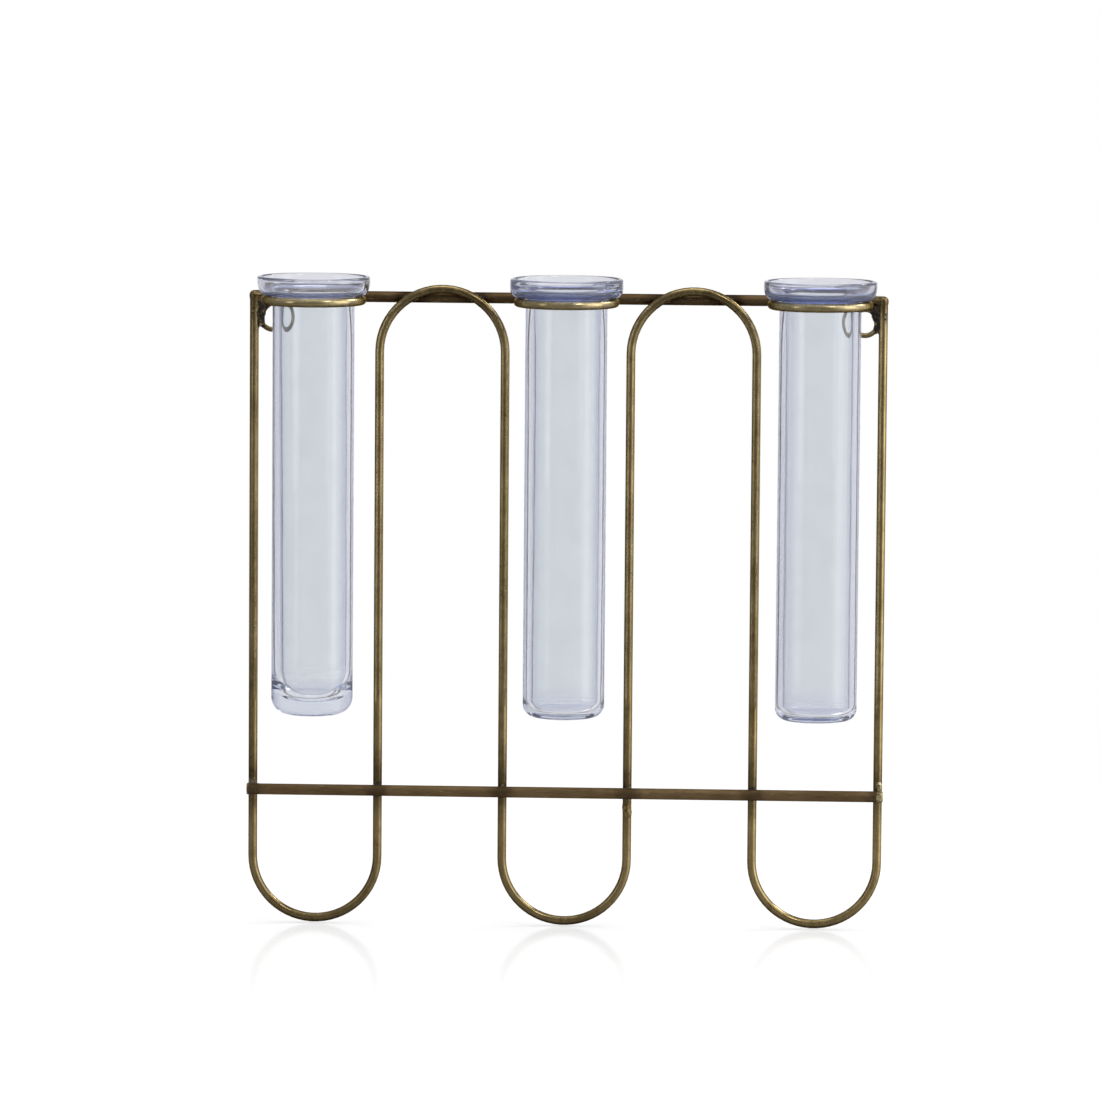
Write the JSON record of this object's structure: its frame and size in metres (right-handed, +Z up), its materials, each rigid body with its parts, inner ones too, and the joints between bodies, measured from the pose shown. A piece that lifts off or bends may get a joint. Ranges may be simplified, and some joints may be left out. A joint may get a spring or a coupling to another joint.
{
  "type": "test tube vase",
  "caption": "Wall-hung vase: clear glass tubes with flared collars hang in wire rings on a flat serpentine wire frame in antique brass, with hanging loops at the upper corners.",
  "frame": {"origin": "midway between the centres of the two hanging loops, in the plane that the loops lie in", "axes": "+Z up along the tubes, +X to the right as seen from the front, +Y towards the wall; the front faces -Y"},
  "size_m": [0.2308, 0.0434, 0.2366],
  "materials": {
    "antique_brass_wire": "antique brass, worn satin",
    "antique_brass_bar": "antique brass, browner and duller",
    "brazing": "blackened brazing, rough",
    "clear_glass": "clear, faint lavender tint, polished"
  },
  "bodies": {
    "frame": {"serpentine_wire": "antique_brass_wire", "top_bar": "antique_brass_bar", "cross_bar": "antique_brass_bar", "tube_ring_left": "antique_brass_wire", "tube_ring_middle": "antique_brass_wire", "tube_ring_right": "antique_brass_wire", "hanging_loop_left": "antique_brass_wire", "hanging_loop_right": "antique_brass_wire", "corner_weld_left": "brazing", "corner_weld_right": "brazing", "ring_weld_left": "brazing", "ring_weld_middle": "brazing", "ring_weld_right": "brazing", "arch_weld_1": "brazing", "arch_weld_2": "brazing", "arch_weld_3": "brazing", "arch_weld_4": "brazing", "cross_weld_1": "brazing", "cross_weld_2": "brazing", "cross_weld_3": "brazing", "cross_weld_4": "brazing", "cross_weld_5": "brazing", "cross_weld_6": "brazing"},
    "tube_left": {"glass_tube_left": "clear_glass"},
    "tube_middle": {"glass_tube_middle": "clear_glass"},
    "tube_right": {"glass_tube_right": "clear_glass"}
  },
  "joints": [
    {"name": "tube_left_lift", "type": "slide", "parent": "frame", "child": "tube_left", "axis": [0, 0, 1], "range_m": [0, 0.17]},
    {"name": "tube_middle_lift", "type": "slide", "parent": "frame", "child": "tube_middle", "axis": [0, 0, 1], "range_m": [0, 0.17]},
    {"name": "tube_right_lift", "type": "slide", "parent": "frame", "child": "tube_right", "axis": [0, 0, 1], "range_m": [0, 0.17]}
  ]
}
